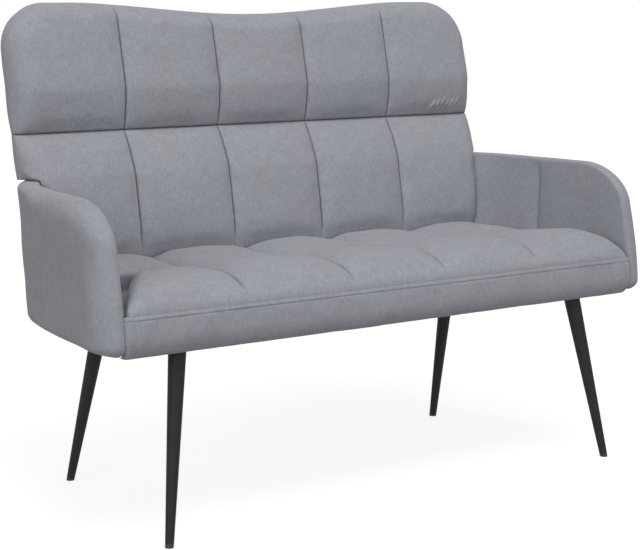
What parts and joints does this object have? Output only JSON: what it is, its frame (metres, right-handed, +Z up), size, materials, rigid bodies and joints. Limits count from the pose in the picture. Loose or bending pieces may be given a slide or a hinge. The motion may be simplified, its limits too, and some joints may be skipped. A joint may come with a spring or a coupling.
{
  "type": "two-seat sofa",
  "caption": "Upholstered loveseat with a quilted seat, a reclined quilted back with rounded corners, slim padded arms that wrap round the back, and splayed tapered steel legs.",
  "frame": {"origin": "on the floor, under the middle of the bounding box", "axes": "+X along the sofa to the right as seen from the front, +Y from the front to the back, +Z up"},
  "size_m": [1.229, 0.5704, 0.8999],
  "materials": {
    "cover_fabric": "cool grey melange weave, matte",
    "wadding": "white fibre wadding",
    "webbing": "black elastic webbing",
    "dust_cloth": "black non-woven cloth",
    "frame_timber": "planed softwood, unfinished",
    "bent_plywood": "bent plywood, unfinished",
    "black_steel": "matte black powder coat",
    "zinc_fasteners": "zinc plated",
    "glide_plastic": "black, slightly textured"
  },
  "bodies": {
    "root": {"seat_cushion": "cover_fabric", "seat_border_front": "cover_fabric", "seat_border_rear": "cover_fabric", "seat_border_left": "wadding", "seat_border_right": "wadding", "front_rail": "frame_timber", "rear_rail": "frame_timber", "side_rail_left": "frame_timber", "side_rail_right": "frame_timber", "centre_rail": "frame_timber", "leg_bearer_left": "frame_timber", "leg_bearer_right": "frame_timber", "corner_blocks": "frame_timber", "webbing_lengthwise": "webbing", "webbing_crosswise": "webbing", "dust_cover": "dust_cloth", "back_cushion": "cover_fabric", "back_rear_panel": "cover_fabric", "back_upright_left": "frame_timber", "back_upright_right": "frame_timber", "back_top_rail": "frame_timber", "back_middle_rail": "frame_timber", "back_bottom_rail": "frame_timber", "back_webbing": "webbing", "back_bolts": "zinc_fasteners", "arm_outer_pad_left": "cover_fabric", "arm_outer_pad_right": "cover_fabric", "arm_inner_pad_left": "cover_fabric", "arm_inner_pad_right": "cover_fabric", "arm_panel_left": "bent_plywood", "arm_panel_right": "bent_plywood", "arm_bolts": "zinc_fasteners", "leg_front_left": "black_steel", "leg_front_right": "black_steel", "leg_rear_left": "black_steel", "leg_rear_right": "black_steel", "leg_plate_front_left": "black_steel", "leg_plate_front_right": "black_steel", "leg_plate_rear_left": "black_steel", "leg_plate_rear_right": "black_steel", "leg_screws": "zinc_fasteners", "foot_glides": "glide_plastic"}
  },
  "joints": []
}
